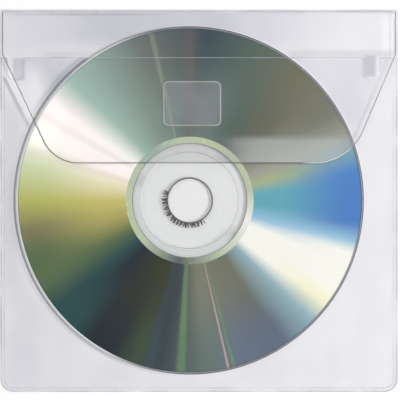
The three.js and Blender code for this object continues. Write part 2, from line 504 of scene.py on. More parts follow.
@dataclass(frozen=True)
class FilmFinish:
    """Clear soft film: a faint haze that is greyer off the disc and towards the left.

    The greyer left is painted shade. Its fields and rings paint shade and shadows by adding haze, and
    glare and highlights by taking some away.
    """

    name: str
    fields: tuple[PaintedLightAndHazeField, ...] = ()
    rings: tuple[RingField, ...] = ()
    over_disc: float = 0.015
    # Haze off the disc at the left and right sides: the greater left one is painted shade.
    margin_left: float = 0.052
    margin_right: float = 0.037
    cloud: float = 0.14
    streak: float = 0.04
    clearest: float = 0.004
    disc_end: Pair = (59.8, 61.0)
    side: float = 68.5
    scales: Pair = (45.0, 150.0)
    roughness: Pair = (0.12, 0.24)
    ior: float = 1.3
    facing_gloss: float = 0.017
    grazing: float = 0.3
    wave_strength: float = 0.2
    wave_depth: float = 0.4

    def build(self, groups: Groups) -> Material:
        """Makes the material.

        Args:
            groups: The shared node groups.

        Returns:
            The material.
        """
        material, tree, shader = new_material(self.name)
        polar = groups.place_polar(tree)
        mottle = groups.place_mottle(tree, self.scales).outputs
        apart = tree.add("ShaderNodeSeparateXYZ", {0: tree.object_place()})
        side = self.side * MM
        # Painted shade: the haze rises from the right side to the left.
        margin = tree.ranged(apart.outputs["X"], -side, side, self.margin_left, self.margin_right)
        off_disc = tree.ranged(polar.outputs["Radius"], *self.disc_end, 0.0, 1.0)
        reach = tree.math("MULTIPLY", off_disc, tree.math("SUBTRACT", margin, self.over_disc))
        haze = tree.math("ADD", reach, self.over_disc)
        cloudy = tree.spread(mottle["Cloud"], 1.0 - self.cloud, 1.0 + self.cloud)
        haze = tree.math("MULTIPLY", haze, cloudy)
        streaky = tree.spread(mottle["Streak"], 1.0 - self.streak, 1.0 + self.streak, NOISE_CORE)
        haze = tree.math("MULTIPLY", haze, streaky)
        colour = tree.mix(mottle["Cloud"], Tint.LILAC_GREY.linear, Tint.FILM_GREY.linear)
        colour = tree.mix(off_disc, colour, Tint.FILM_SHADE.linear)
        masks = [(field, field.mask(tree, apart)) for field in self.fields]
        masks += [(ring, ring.mask(tree, polar)) for ring in self.rings]
        # Most fields and rings paint shade, shadow, glare and reflection into the haze and the tint.
        for field, mask in masks:
            haze = tree.math("ADD", haze, tree.math("MULTIPLY", mask, field.strength))
            colour = tree.mix(mask, colour, field.tint.linear)
        haze = tree.math("MAXIMUM", haze, self.clearest)
        gloss = tree.grazing(self.ior, self.facing_gloss, self.grazing)
        depth = {"Strength": self.wave_strength, "Distance": self.wave_depth * MM}
        bump = tree.add("ShaderNodeBump", {"Height": mottle["Wave"], **depth})
        tree.fill(shader, {
            "Base Color": colour,
            "Alpha": tree.math("ADD", haze, gloss),
            "Roughness": tree.spread(mottle["Streak"], *self.roughness),
            "Normal": bump.outputs[0],
        })
        return material


@dataclass(frozen=True)
class EdgeFinish:
    """A narrow line of film, darker or brighter than the sheet, such as a cut edge, at times with a
    painted highlight.
    """

    name: str
    colour: Tint
    other: Tint
    alpha: float
    vary: float = 0.5
    # A field of painted highlight along part of the line, if any.
    painted_light: PaintedLightAndHazeField | None = None
    scales: Pair = (60.0, 300.0)
    roughness: Pair = (0.2, 0.34)

    def build(self, groups: Groups) -> Material:
        """Makes the material.

        Args:
            groups: The shared node groups.

        Returns:
            The material.
        """
        material, tree, shader = new_material(self.name)
        mottle = groups.place_mottle(tree, self.scales).outputs
        share = tree.spread(mottle["Cloud"], 0.0, 1.0, NOISE_CORE)
        colour = tree.mix(share, self.colour.linear, self.other.linear)
        low, high = self.alpha * (1 - self.vary), self.alpha * (1 + self.vary)
        alpha = tree.spread(mottle["Cloud"], low, high)
        # A painted highlight along part of the line.
        if self.painted_light:
            apart = tree.add("ShaderNodeSeparateXYZ", {0: tree.object_place()})
            mask = self.painted_light.mask(tree, apart)
            colour = tree.mix(mask, colour, self.painted_light.tint.linear)
            alpha = tree.math("ADD", alpha, tree.math("MULTIPLY", mask, self.painted_light.strength))
        rough = tree.spread(mottle["Streak"], *self.roughness)
        tree.fill(shader, {"Base Color": colour, "Alpha": alpha, "Roughness": rough})
        return material


@dataclass(frozen=True)
class PadFinish:
    """Milky pad of adhesive film, with a light mottle."""

    name: str = "closure_pad"
    alpha: float = 0.11
    vary: float = 0.3
    scales: Pair = (180.0, 700.0)
    roughness: Pair = (0.3, 0.45)

    def build(self, groups: Groups) -> Material:
        """Makes the material.

        Args:
            groups: The shared node groups.

        Returns:
            The material.
        """
        material, tree, shader = new_material(self.name)
        mottle = groups.place_mottle(tree, self.scales).outputs
        low, high = self.alpha * (1 - self.vary), self.alpha * (1 + self.vary)
        tree.fill(shader, {
            "Base Color": tree.mix(mottle["Cloud"], Tint.LILAC_GREY.linear, Tint.SILVER.linear),
            "Alpha": tree.spread(mottle["Cloud"], low, high),
            "Roughness": tree.spread(mottle["Streak"], *self.roughness),
        })
        return material


@dataclass(frozen=True)
class DataLayerFinish:
    """Metal layer of the disc with fans of rainbow colour, radial streaks and a grooved gloss.

    The fans and streaks are the disc's rainbow reflection and highlights, painted into its colour by
    angle. The fans change from the hub's to the rim's over the blend's two radii. A streak has its
    angle and width in degrees, its tint and its strength.
    """

    name: str = "data_layer"
    blend: Pair = (28.0, 56.0)
    end: Span = (59.25, 0.1, 0.25)
    end_strength: float = 0.6
    streak_core: float = 0.25
    ray_turns: float = 90.0
    ray_drift: float = 0.03
    ray_scale: float = 3.0
    ray_detail: float = 3.0
    ray_light: Pair = (0.985, 1.01)
    roughness: Pair = (0.34, 0.38)
    scratch_scale: float = 260.0
    metal: Pair = (0.8, 0.74)
    anisotropy: float = 0.6
    coat: float = 0.1
    coat_roughness: float = 0.08

    rim_reflections: ClassVar[tuple[tuple[int, Tint], ...]] = (
        (-180, Tint.CITRINE), (-170, Tint.TAN_OLIVE), (-161, Tint.FERN), (-151, Tint.FERN),
        (-142, Tint.TEAL), (-133, Tint.TEAL), (-126, Tint.NAVY), (-117, Tint.NAVY),
        (-109, Tint.MOSS), (-100, Tint.SLATE), (-84, Tint.GREY_GREEN), (-70, Tint.SLATE_BLUE),
        (-56, Tint.SLATE_BLUE), (-44, Tint.PALE_TEAL), (-37, Tint.PALE_YELLOW), (-31, Tint.CREAM),
        (-18, Tint.CREAM), (-14, Tint.SKY), (-8, Tint.BLUE), (10, Tint.BLUE),
        (17, Tint.DUSTY_TEAL), (22, Tint.WARM_GREY), (31, Tint.ASH), (50, Tint.OLIVE),
        (68, Tint.FOREST), (84, Tint.DEEP_TEAL), (108, Tint.STONE), (135, Tint.MINT),
        (145, Tint.ROSE_WHITE), (158, Tint.CREAM), (167, Tint.PALE_GREEN), (180, Tint.CITRINE),
    )
    hub_reflections: ClassVar[tuple[tuple[int, Tint], ...]] = (
        (-180, Tint.STRAW), (-166, Tint.OCHRE), (-153, Tint.FERN), (-143, Tint.TEAL),
        (-134, Tint.NAVY), (-121, Tint.UMBER), (-107, Tint.BRONZE), (-97, Tint.SLATE),
        (-84, Tint.ASH), (-58, Tint.ASH), (-45, Tint.PALE_TEAL), (-38, Tint.CREAM),
        (-22, Tint.CREAM), (-15, Tint.SKY), (-4, Tint.BRIGHT_TEAL), (6, Tint.BRIGHT_TEAL),
        (14, Tint.CITRON), (22, Tint.WARM_GREY), (42, Tint.OLIVE), (60, Tint.FOREST),
        (76, Tint.GREY_GREEN), (92, Tint.GREY_GREEN), (116, Tint.SAGE), (133, Tint.MINT),
        (145, Tint.CREAM), (158, Tint.ROSE_WHITE), (167, Tint.SAND), (180, Tint.STRAW),
    )
    streaks: ClassVar[tuple[tuple[float, float, Tint, float], ...]] = (
        (-104, 2.4, Tint.ROYAL, 0.05), (-93.0, 2.0, Tint.LEAF, 0.6), (-77, 0.5, Tint.ROSE, 0.7),
        (-75, 0.7, Tint.LEAF, 0.6), (90, 2.6, Tint.RUST, 0.28), (103, 1.2, Tint.PALE_GREEN, 0.16),
        (150, 2.0, Tint.ROSE, 0.14), (163, 2.5, Tint.ROSE, 0.16),
    )

    def build(self, groups: Groups) -> Material:
        """Makes the material.

        Args:
            groups: The shared node groups.

        Returns:
            The material.
        """
        material, tree, shader = new_material(self.name)
        polar = groups.place_polar(tree)
        angle = polar.outputs["Angle"]
        # Painted reflection: the disc's rainbow fans and highlights, set by angle.
        near_rim, near_hub = tree.fans(angle, self.rim_reflections), tree.fans(angle, self.hub_reflections)
        outward = tree.ranged(polar.outputs["Radius"], *self.blend, 0.0, 1.0)
        colour = tree.mix(outward, near_hub, near_rim)
        # Painted reflection: thin radial streaks of colour.
        for degrees, width, tint, strength in self.streaks:
            mask = tree.sector(angle, degrees, width * self.streak_core, width)
            colour = tree.mix(tree.math("MULTIPLY", mask, strength), colour, tint.linear)
        end = tree.band(polar.outputs["Radius"], *self.end)
        colour = tree.mix(tree.math("MULTIPLY", end, self.end_strength), colour, Tint.NAVY.linear)
        # A faint shimmer along the rays, painted into the colour and also given to the roughness.
        turns = tree.math("MULTIPLY", angle, self.ray_turns)
        drift = tree.math("MULTIPLY", polar.outputs["Radius"], self.ray_drift)
        fine = tree.add("ShaderNodeCombineXYZ", {"X": turns, "Y": drift}).outputs[0]
        noise = {"Vector": fine, "Scale": self.ray_scale, "Detail": self.ray_detail}
        ray = tree.add("ShaderNodeTexNoise", noise).outputs["Fac"]
        light = tree.spread(ray, *self.ray_light)
        grey = tree.add("ShaderNodeCombineColor", {0: light, 1: light, 2: light}).outputs[0]
        scratch = groups.place_scratch(tree, self.scratch_scale)
        tangent = tree.add("ShaderNodeTangent", direction_type="RADIAL", axis="Z").outputs[0]
        tree.fill(shader, {
            "Base Color": tree.mix(1.0, colour, grey, "MULTIPLY"),
            "Metallic": tree.ranged(scratch, 0.0, 1.0, *self.metal),
            "Roughness": tree.spread(ray, *self.roughness),
            "Anisotropic": self.anisotropy,
            "Tangent": tangent,
            "Coat Weight": self.coat,
            "Coat Roughness": self.coat_roughness,
        })
        return material


@dataclass(frozen=True)
class BandFinish:
    """Pale mirror band between the hub and the data layer."""

    name: str = "mirror_band"
    scratch_scale: float = 400.0
    scratch_strength: float = 0.08
    roughness: Pair = (0.22, 0.4)
    metal: float = 0.5

    # The band's tint changes round it by angle: painted reflection.
    fans: ClassVar[tuple[tuple[int, Tint], ...]] = (
        (-180, Tint.PALE_GREEN), (-140, Tint.BAND_GREEN), (-100, Tint.GREY_GREEN),
        (-60, Tint.BAND_GREEN), (-20, Tint.CREAM), (10, Tint.BAND_GREEN), (60, Tint.PALE_GREEN),
        (100, Tint.BAND_GREEN), (130, Tint.MINT), (150, Tint.BAND_GREEN),
    )

    def build(self, groups: Groups) -> Material:
        """Makes the material.

        Args:
            groups: The shared node groups.

        Returns:
            The material.
        """
        material, tree, shader = new_material(self.name)
        colour = tree.fans(groups.place_polar(tree).outputs["Angle"], self.fans)
        scratch = groups.place_scratch(tree, self.scratch_scale)
        worn = tree.math("MULTIPLY", scratch, self.scratch_strength)
        tree.fill(shader, {
            "Base Color": tree.mix(worn, colour, Tint.SILVER.linear),
            "Roughness": tree.ranged(scratch, 0.0, 1.0, *self.roughness),
            "Metallic": self.metal,
        })
        return material


@dataclass(frozen=True)
class ClearPlasticFinish:
    """Clear moulded plastic of the hub and rim, with hairlines and painted light on one side."""

    name: str
    alpha: float
    colour: Tint = Tint.FILM_GREY
    # Tint, angle, opening, strength and fade of the painted light on one side: a highlight with a pale
    # tint, shade with a dark one.
    painted_light: Tint = Tint.EDGE_WHITE
    painted_light_angle: float = -158.0
    painted_light_reach: float = 44.0
    painted_light_alpha: float = 0.0
    painted_light_fade: float = 25.0
    scratch_scale: float = 320.0
    scratch_haze: float = 0.04
    roughness: Pair = (0.05, 0.2)
    ior: float = 1.5
    facing_gloss: float = 0.04
    grazing: float = 0.4

    def build(self, groups: Groups) -> Material:
        """Makes the material.

        Args:
            groups: The shared node groups.

        Returns:
            The material.
        """
        material, tree, shader = new_material(self.name)
        angle = groups.place_polar(tree).outputs["Angle"]
        scratch = groups.place_scratch(tree, self.scratch_scale)
        # Painted light on one side of the disc.
        bright = tree.sector(angle, self.painted_light_angle, self.painted_light_reach, self.painted_light_fade)
        haze = tree.ranged(scratch, 0.0, 1.0, self.alpha, self.alpha + self.scratch_haze)
        lit = tree.math("MULTIPLY", bright, self.painted_light_alpha)
        gloss = tree.grazing(self.ior, self.facing_gloss, self.grazing)
        tree.fill(shader, {
            "Base Color": tree.mix(bright, self.colour.linear, self.painted_light.linear),
            "Alpha": tree.math("ADD", tree.math("ADD", haze, lit), gloss),
            "Roughness": tree.ranged(scratch, 0.0, 1.0, *self.roughness),
        })
        return material


@dataclass(frozen=True)
class LabelSideFinish:
    """Satin lacquer of the disc's other side."""

    name: str = "label_side"
    scratch_scale: float = 300.0
    scratch_strength: float = 0.3
    scales: Pair = (70.0, 300.0)
    roughness: Pair = (0.34, 0.5)
    metal: float = 0.6

    def build(self, groups: Groups) -> Material:
        """Makes the material.

        Args:
            groups: The shared node groups.

        Returns:
            The material.
        """
        material, tree, shader = new_material(self.name)
        scratch = groups.place_scratch(tree, self.scratch_scale)
        mottle = groups.place_mottle(tree, self.scales).outputs
        colour = tree.mix(mottle["Cloud"], Tint.SILVER.linear, Tint.LILAC_GREY.linear)
        worn = tree.math("MULTIPLY", scratch, self.scratch_strength)
        tree.fill(shader, {
            "Base Color": tree.mix(worn, colour, Tint.EDGE_WHITE.linear),
            "Roughness": tree.spread(mottle["Streak"], *self.roughness),
            "Metallic": self.metal,
        })
        return material


@dataclass(frozen=True)
class InkFinish:
    """Dark print with slightly uneven cover."""

    name: str = "hub_ink"
    scales: Pair = (900.0, 1500.0)
    roughness: Pair = (0.4, 0.6)

    def build(self, groups: Groups) -> Material:
        """Makes the material.

        Args:
            groups: The shared node groups.

        Returns:
            The material.
        """
        material, tree, shader = new_material(self.name)
        cloud = groups.place_mottle(tree, self.scales).outputs["Cloud"]
        colour = tree.mix(cloud, Tint.INK.linear, Tint.EDGE_DARK.linear)
        tree.fill(shader, {"Base Color": colour, "Roughness": tree.spread(cloud, *self.roughness)})
        return material


@dataclass(frozen=True)
class FloorFinish:
    """White sweep that shows plain white to the camera where nothing shades it."""

    name: str = "white_sweep"
    lift: float = 0.3
    scales: Pair = (6.0, 12.0)
    roughness: Pair = (0.8, 0.95)

    def build(self, groups: Groups) -> Material:
        """Makes the material.

        Args:
            groups: The shared node groups.

        Returns:
            The material.
        """
        material, tree, shader = new_material(self.name)
        cloud = groups.place_mottle(tree, self.scales).outputs["Cloud"]
        tree.fill(shader, {
            "Base Color": tree.mix(cloud, Tint.FLOOR.linear, Tint.FLOOR_PALE.linear),
            "Roughness": tree.spread(cloud, *self.roughness),
            "Specular IOR Level": 0.0,
        })
        strength = tree.math("MULTIPLY", tree.seen_straight(), self.lift)
        glow = tree.add("ShaderNodeEmission", {"Color": Tint.WHITE.linear, "Strength": strength})
        both = tree.add("ShaderNodeAddShader", {0: shader.outputs[0], 1: glow.outputs[0]})
        output = material.node_tree.nodes["Material Output"]
        tree.feed(output.inputs["Surface"], both.outputs[0])
        return material


class Across(Enum):
    """Which axis a row of cuts lies across."""

    X = 0
    Y = 1


class SheetSlot(Enum):
    """Material slots of a film sheet, its flap and the pad."""

    SHEET = 0
    CUT_EDGE = 1
    FLAP_EDGE = 2
    CREASE = 3


def outline_face(points: Sequence[Pair]) -> bmesh.types.BMesh:
    """Starts a flat piece from the corners of its outline.

    Args:
        points: Corners, anticlockwise from above.

    Returns:
        A bmesh with one face at height 0.
    """
    bm = bmesh.new()
    bm.faces.new([bm.verts.new((x, y, 0.0)) for x, y in points])
    bm.normal_update()
    return bm


def round_corner(bm: bmesh.types.BMesh, corner: Pair, radius: float, segments: int = 12) -> None:
    """Rounds one corner of a flat outline to an arc.

    Args:
        bm: The piece.
        corner: Where the sharp corner is.
        radius: Radius of the arc.
        segments: Steps of the arc.
    """
    place = Vector((*corner, 0.0))
    vert = min(bm.verts, key=lambda v: (v.co - place).length)
    along = [(edge.other_vert(vert).co - vert.co).normalized() for edge in vert.link_edges]
    tangent_length = radius / math.tan(along[0].angle(along[1]) / 2)
    bmesh.ops.bevel(
        bm, geom=[vert], offset=tangent_length, offset_type="OFFSET", affect="VERTICES",
        segments=segments, profile=0.5, material=-1,
    )


def add_edge_ring(bm: bmesh.types.BMesh, width: float, slot: SheetSlot = SheetSlot.CUT_EDGE) -> None:
    """Sets off a narrow ring along the outline.

    Args:
        bm: The flat piece.
        width: Width of the ring.
        slot: Material slot of the ring.
    """
    ring = bmesh.ops.inset_region(
        bm, faces=bm.faces[:], thickness=width, use_boundary=True, use_even_offset=True
    )
    for face in ring["faces"]:
        face.material_index = slot.value


def slice_at(bm: bmesh.types.BMesh, across: Across, places: Sequence[float]) -> None:
    """Cuts all faces along planes across one axis.

    Args:
        bm: The piece.
        across: The axis that the planes cross.
        places: Where on it they stand.
    """
    normal = Vector((across is Across.X, across is Across.Y, 0.0))
    for place in places:
        everything = [*bm.verts, *bm.edges, *bm.faces]
        bmesh.ops.bisect_plane(
            bm, geom=everything, dist=SAME_PLACE, plane_co=normal * place, plane_no=normal
        )


def steps_between(low: float, high: float, step: float) -> list[float]:
    """Even places strictly between two ends, at most a step apart."""
    count = math.ceil((high - low) / step)
    return [low + (high - low) * i / count for i in range(1, count)]


def finish_piece(
    name: str,
    bm: bmesh.types.BMesh,
    materials: Sequence[Material],
    replaced: str = "",
    sharp_degrees: float = ALL_SMOOTH,
) -> bpy.types.Object:
    """Turns a shaped bmesh into a piece that rides on the sleeve.

    Args:
        name: The piece's name.
        bm: Its shape in millimetres, freed here.
        materials: Its material slots.
        replaced: The solid that it stands for, if any.
        sharp_degrees: Edges that bend more than this stay sharp.

    Returns:
        The new object.
    """
    bmesh.ops.scale(bm, vec=(MM, MM, MM), verts=bm.verts[:])
    mesh = bpy.data.meshes.new(name)
    bm.to_mesh(mesh)
    bm.free()
    mesh.shade_smooth()
    if sharp_degrees < ALL_SMOOTH:
        mesh.set_sharp_from_angle(angle=math.radians(sharp_degrees))
    for material in materials:
        mesh.materials.append(material)
    piece = bpy.data.objects.new(name, mesh)
    bpy.context.scene.collection.objects.link(piece)
    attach(piece, "root")
    if replaced:
        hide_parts(replaced)
    LOG.info("%s: %d faces", name, len(mesh.polygons))
    return piece


def thicken(piece: bpy.types.Object, thickness: float) -> None:
    """Gives a sheet its thickness about its middle surface, and its cut rim the edge's finish.

    Args:
        piece: The sheet.
        thickness: In millimetres.
    """
    solid = piece.modifiers.new("thickness", "SOLIDIFY")
    solid.thickness = thickness * MM
    solid.offset = 0.0
    solid.use_even_offset = True
    solid.material_offset_rim = SheetSlot.CUT_EDGE.value


@dataclass
class SleevePlan:
    """Shared plan of the sleeve, read from the frame, with the levels of its layers."""

    side: float
    fold: float
    disc_x: float
    disc_y: float
    disc_radius: float
    top: float
    film: float = 0.2
    drawn_film: float = 0.18
    corner_radius: float = 4.3
    mouth_depth: float = 16.5
    mesh_step: float = 1.6
    edge_width: float = 0.26

    @classmethod
    def from_frame(cls) -> "SleevePlan":
        """Reads the sleeve's and the disc's boxes."""
        low, high = (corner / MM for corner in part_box("back_sheet_with_flap"))
        disc_low, disc_high = (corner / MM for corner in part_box("disc"))
        middle = (disc_low + disc_high) / 2
        return cls(high.x, high.y, middle.x, middle.y, (disc_high.x - disc_low.x) / 2, high.z)

    @property
    def mouth(self) -> float:
        """Y of the front sheet's open edge."""
        return self.fold - self.mouth_depth

    @property
    def bottom(self) -> list[Pair]:
        """The two corners away from the fold, left one first."""
        return [(-self.side, -self.fold), (self.side, -self.fold)]

    def side_distance(self, x: float, y: float) -> float:
        """Distance in from the welded sides, which are all but the fold's.

        Args:
            x: Place across the sleeve.
            y: Place towards the fold.

        Returns:
            The distance in millimetres.
        """
        across = self.side - abs(x)
        up = self.fold + y
        inner = self.corner_radius
        if across < inner and up < inner:
            return inner - math.hypot(inner - across, inner - up)
        return min(across, up)


@dataclass
class FoldedSheet:
    """Back sheet and flap, one piece of film folded over at the top."""

    plan: SleevePlan
    flap_length: float = 53.0
    flap_inset: float = 0.8
    flap_straight: float = 15.6
    taper_left: float = 17.7
    taper_right: float = 16.0
    corner_left: float = 12.5
    corner_right: float = 17.0
    fold_steps: int = 14
    tip_steps: int = 20
    wave_height: float = 0.12
    wave_width: float = 11.0
    wave_reach: float = 40.0

    @property
    def fold_radius(self) -> float:
        """Radius of the fold's middle surface."""
        return (self.plan.top - self.plan.film) / 2

    @property
    def fold_start(self) -> float:
        """Y where the back sheet begins to bend."""
        return self.plan.fold - self.plan.top / 2

    @property
    def fold_end(self) -> float:
        """Place on the flat blank where the flap begins."""
        return self.fold_start + math.pi * self.fold_radius

    def blank_place(self, y: float) -> float:
        """Place on the flat blank of a flap point at height y of the plan."""
        return self.fold_end + self.fold_start - y

    def fold_point(self, x: float, along: float) -> Vector:
        """Where a point of the flat blank comes to lie.

        Args:
            x: Place across the blank.
            along: Place along the blank.

        Returns:
            The point of the folded middle surface.
        """
        base = self.plan.film / 2
        if along <= self.fold_start:
            return Vector((x, along, base))
        if along < self.fold_end:
            angle = (along - self.fold_start) / self.fold_radius
            rise = self.fold_radius * (1 - math.cos(angle))
            return Vector((x, self.fold_start + self.fold_radius * math.sin(angle), base + rise))
        out = along - self.fold_end
        y = self.fold_start - out
        grown = math.sin(min(out / self.wave_reach, 1.0) * math.pi / 2)
        wave = (1 - math.cos(x / self.wave_width)) * grown
        return Vector((x, y, self.plan.top - base + self.wave_height * wave))

    def build(
        self,
        film: Material,
        edge: Material,
        flap_edge: Material,
        fold_shade: Material,
    ) -> bpy.types.Object:
        """Cuts, slices and folds the blank.

        Args:
            film: Material of the sheet.
            edge: Material of the back sheet's cut edge.
            flap_edge: Material of the flap's cut edge.
            fold_shade: Material of the fold, darkened as painted shade.

        Returns:
            The piece.
        """
        plan = self.plan
        middle = (self.fold_start + self.fold_end) / 2
        flap_side = plan.side - self.flap_inset
        taper_start = self.blank_place(plan.fold - self.flap_straight)
        tip = self.blank_place(plan.fold - self.flap_length)
        tip_right = (flap_side - self.taper_right, tip)
        tip_left = (self.taper_left - flap_side, tip)
        right = [(plan.side, middle), (flap_side, middle), (flap_side, taper_start), tip_right]
        left = [tip_left, (-flap_side, taper_start), (-flap_side, middle), (-plan.side, middle)]
        bm = outline_face(plan.bottom + right + left)
        for corner in plan.bottom:
            round_corner(bm, corner, plan.corner_radius)
        round_corner(bm, tip_right, self.corner_right, self.tip_steps)
        round_corner(bm, tip_left, self.corner_left, self.tip_steps)
        add_edge_ring(bm, plan.edge_width)
        slice_at(bm, Across.X, steps_between(-plan.side, plan.side, plan.mesh_step))
        slice_at(bm, Across.Y, steps_between(-plan.fold, self.fold_start, plan.mesh_step))
        turns = [self.fold_start, self.fold_end]
        turn_step = (turns[1] - turns[0]) / self.fold_steps
        slice_at(bm, Across.Y, turns + steps_between(*turns, turn_step))
        slice_at(bm, Across.Y, steps_between(self.fold_end, tip, plan.mesh_step))
        for face in bm.faces:
            along = face.calc_center_median().y
            if face.material_index == SheetSlot.CUT_EDGE.value and along > self.fold_end:
                face.material_index = SheetSlot.FLAP_EDGE.value
            elif self.fold_start < along < self.fold_end:
                face.material_index = SheetSlot.CREASE.value
        for vert in bm.verts:
            vert.co = self.fold_point(vert.co.x, vert.co.y)
        slots = [film, edge, flap_edge, fold_shade]
        piece = finish_piece("film_back_and_flap", bm, slots, "back_sheet_with_flap")
        thicken(piece, plan.drawn_film)
        return piece


@dataclass
class FrontSheet:
    """Front sheet, draped over the disc down to its weld, with a notched mouth."""

    plan: SleevePlan
    seam: float = 1.0
    bead_width: float = 0.6
    bead_height: float = 0.1
    notch_width: float = 5.5
    notch_depth: float = 7.6
    notch_radius: float = 2.2
    notch_steps: int = 8
    lip_radius: float = 0.6
    lip_steps: int = 4
    inset_left: float = 2.4
    inset_right: float = 5.9
    disc_clearance: float = 0.3
    raised: float = 1.7
    welded: float = 0.3

    def height(self, x: float, y: float) -> float:
        """Height of the sheet's middle surface, from the disc's top down to the weld.

        Args:
            x: Place across the sleeve.
            y: Place towards the fold.

        Returns:
            The height in millimetres.
        """
        plan = self.plan
        radius = math.hypot(x - plan.disc_x, y - plan.disc_y)
        off_disc = max(0.0, radius - plan.disc_radius - self.disc_clearance)
        to_weld = max(0.0, plan.side_distance(x, y) - self.seam)
        share = off_disc / (off_disc + to_weld) if off_disc + to_weld > 0 else 0.0
        ease = share * share * (3 - 2 * share)
        return self.raised + (self.welded - self.raised) * ease

    def notch(self, left_edge: float) -> list[Pair]:
        """Corners of a notch, from its right lip round to its left lip.

        Args:
            left_edge: X of the notch's left side.

        Returns:
            Four corners.
        """
        right_edge = left_edge + self.notch_width
        mouth = self.plan.mouth
        floor = mouth - self.notch_depth
        return [(right_edge, mouth), (right_edge, floor), (left_edge, floor), (left_edge, mouth)]

    def build(self, film: Material, edge: Material) -> bpy.types.Object:
        """Cuts, slices and drapes the sheet.

        Args:
            film: Material of the sheet.
            edge: Material of its cut edge.

        Returns:
            The piece.
        """
        plan = self.plan
        right = self.notch(plan.side - self.inset_right - self.notch_width)
        left = self.notch(self.inset_left - plan.side)
        top_right, top_left = (plan.side, plan.mouth), (-plan.side, plan.mouth)
        bm = outline_face([*plan.bottom, top_right, *right, *left, top_left])
        for corner in plan.bottom:
            round_corner(bm, corner, plan.corner_radius)
        for lip_right, floor_right, floor_left, lip_left in (right, left):
            for corner in (lip_right, lip_left):
                round_corner(bm, corner, self.lip_radius, self.lip_steps)
            for corner in (floor_right, floor_left):
                round_corner(bm, corner, self.notch_radius, self.notch_steps)
        add_edge_ring(bm, plan.edge_width)
        slice_at(bm, Across.X, steps_between(-plan.side, plan.side, plan.mesh_step))
        slice_at(bm, Across.Y, steps_between(-plan.fold, plan.mouth, plan.mesh_step))
        for vert in bm.verts:
            vert.co.z = self.height(vert.co.x, vert.co.y)
        piece = finish_piece("film_front", bm, [film, edge], "front_sheet")
        thicken(piece, plan.drawn_film)
        return piece

    def build_bead(self, weld: Material) -> bpy.types.Object:
        """Shapes the raised bead beside the weld on three sides.

        Args:
            weld: Material of the bead.

        Returns:
            The piece.
        """
        plan = self.plan
        side, low, high = plan.side - self.seam, self.seam - plan.fold, plan.fold
        corners = [(-side, low), (side, low), (side, high), (-side, high)]
        bm = outline_face(corners)
        for corner in corners[:2]:
            round_corner(bm, corner, plan.corner_radius - self.seam)
        add_edge_ring(bm, self.bead_width, SheetSlot.SHEET)
        inner = max(bm.faces, key=lambda face: face.calc_area())
        bmesh.ops.delete(bm, geom=[inner], context="FACES")
        everything = [*bm.verts, *bm.edges, *bm.faces]
        line = Vector((0.0, plan.mouth - plan.edge_width, 0.0))
        bmesh.ops.bisect_plane(
            bm, geom=everything, dist=SAME_PLACE, plane_co=line, plane_no=(0, 1, 0), clear_outer=True
        )
        for vert in bm.verts:
            vert.co.z = self.height(vert.co.x, vert.co.y) + plan.film / 2
        wall = bmesh.ops.extrude_face_region(bm, geom=bm.faces[:])
        raised = [part for part in wall["geom"] if isinstance(part, bmesh.types.BMVert)]
        bmesh.ops.translate(bm, vec=(0.0, 0.0, self.bead_height), verts=raised)
        bmesh.ops.recalc_face_normals(bm, faces=bm.faces[:])
        return finish_piece("weld_bead", bm, [weld], sharp_degrees=CRISP)


@dataclass
class ClosurePad:
    """Pad of adhesive film that holds the flap shut, with its cut edge painted pale as a highlight."""

    radius: float = 2.0
    corner_steps: int = 10
    edge_width: float = 0.42
    air: float = 0.012

    def build(self, pad: Material, edge: Material) -> bpy.types.Object:
        """Shapes the pad between the front sheet and the flap.

        Args:
            pad: Material of the pad.
            edge: Material of its edge.

        Returns:
            The piece.
        """
        low, high = (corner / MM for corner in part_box("closure_patch"))
        corners = [(low.x, low.y), (high.x, low.y), (high.x, high.y), (low.x, high.y)]
        bm = outline_face(corners)
        for corner in corners:
            round_corner(bm, corner, self.radius, self.corner_steps)
        add_edge_ring(bm, self.edge_width)
        bmesh.ops.translate(bm, vec=(0.0, 0.0, (low.z + high.z) / 2), verts=bm.verts[:])
        piece = finish_piece("closure_pad", bm, [pad, edge], "closure_patch")
        thicken(piece, high.z - low.z - 2 * self.air)
        return piece


class DiscFace(Enum):
    """Material slots of the disc."""

    CLEAR_HUB = 0
    MIRROR_BAND = 1
    DATA_LAYER = 2
    CLEAR_RIM = 3
    LABEL_SIDE = 4
    RING_EDGE = 5
    RIM_EDGE = 6
    MOULDED_RING = 7


